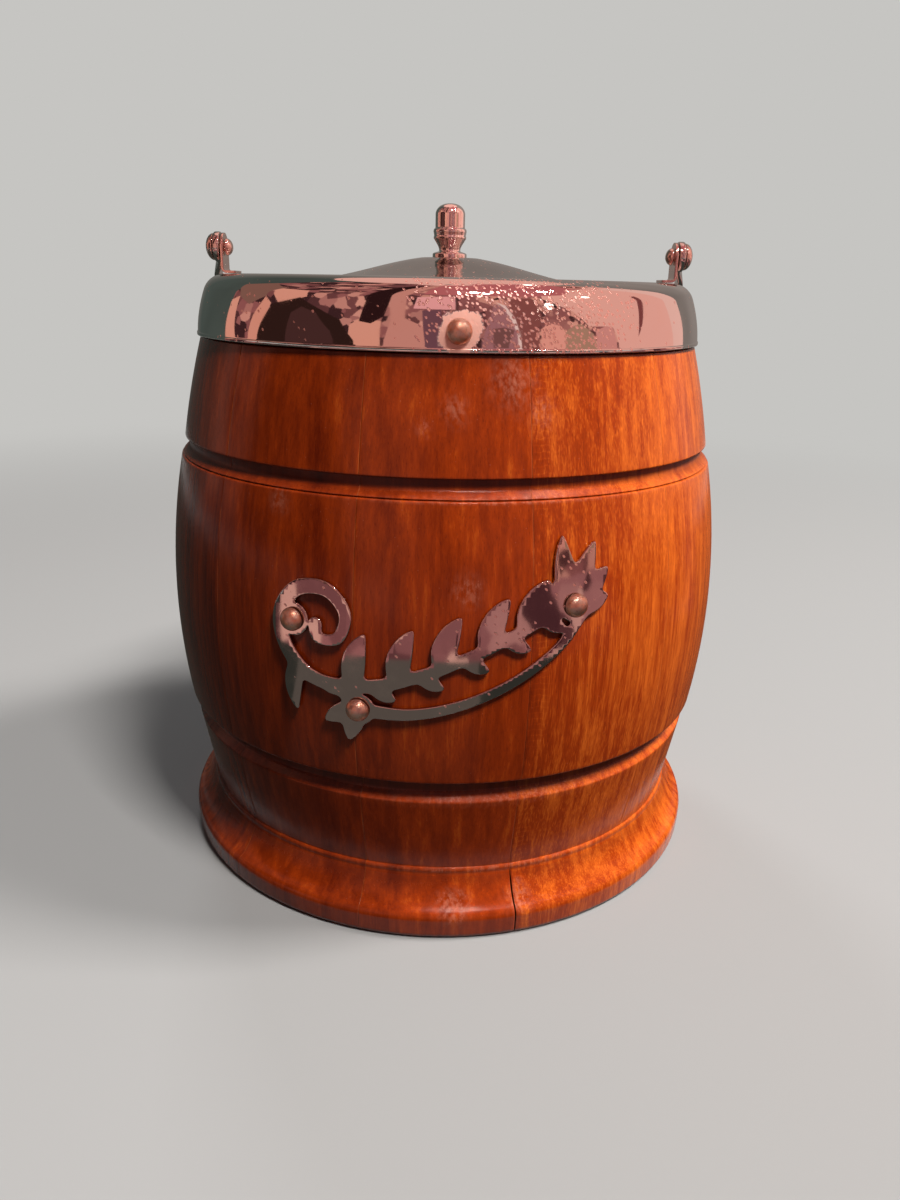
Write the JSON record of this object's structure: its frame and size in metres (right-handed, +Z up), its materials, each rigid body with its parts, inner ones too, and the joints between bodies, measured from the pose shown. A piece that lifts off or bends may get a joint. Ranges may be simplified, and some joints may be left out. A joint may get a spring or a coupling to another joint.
{
  "type": "biscuit barrel",
  "caption": "Turned wooden stave barrel with a glazed liner, chromed collar, lift-off lid, swing handle and pierced ornament.",
  "frame": {"origin": "centre of the base board's underside, on the barrel's axis, at the level the foot stands on", "axes": "+Z up along the barrel's axis, -Y towards the front with the ornament, +X to the right of someone who looks at the front"},
  "size_m": [0.1684, 0.1716, 0.1903],
  "materials": {
    "varnished_beech": "red-brown gloss varnish over vertical grain",
    "plywood": "bare, lightly stained",
    "glazed_earthenware": "clear glaze over cream earthenware",
    "chromed_brass": "bright chrome plate with fine pits",
    "worn_brass": "plating worn through to copper-coloured brass",
    "steel": "plain steel"
  },
  "bodies": {
    "barrel": {"stave_01": "varnished_beech", "stave_02": "varnished_beech", "stave_03": "varnished_beech", "stave_04": "varnished_beech", "stave_05": "varnished_beech", "stave_06": "varnished_beech", "stave_07": "varnished_beech", "stave_08": "varnished_beech", "stave_09": "varnished_beech", "stave_10": "varnished_beech", "stave_11": "varnished_beech", "stave_12": "varnished_beech", "base_board": "plywood", "ceramic_liner": "glazed_earthenware", "rim_collar": "chromed_brass", "lug_left": "chromed_brass", "lug_right": "chromed_brass", "pivot_rivet_left": "chromed_brass", "pivot_rivet_right": "chromed_brass", "collar_pin_1": "worn_brass", "collar_pin_2": "worn_brass", "collar_pin_3": "worn_brass", "ornament_plate": "chromed_brass", "ornament_pin_1": "worn_brass", "ornament_pin_2": "worn_brass", "ornament_pin_3": "worn_brass"},
    "bail": {"bail_handle": "chromed_brass"},
    "lid": {"lid": "chromed_brass", "lid_knob": "chromed_brass", "knob_washer": "steel", "knob_nut": "worn_brass"}
  },
  "joints": [
    {"name": "bail_swing", "type": "hinge", "parent": "barrel", "child": "bail", "pos_m": [0, 0, 0.1772], "axis": [1, 0, 0], "range_deg": [0, 250]},
    {"name": "lid_lift", "type": "slide", "parent": "barrel", "child": "lid", "axis": [0, 0, 1], "range_m": [0, 0.06]}
  ]
}
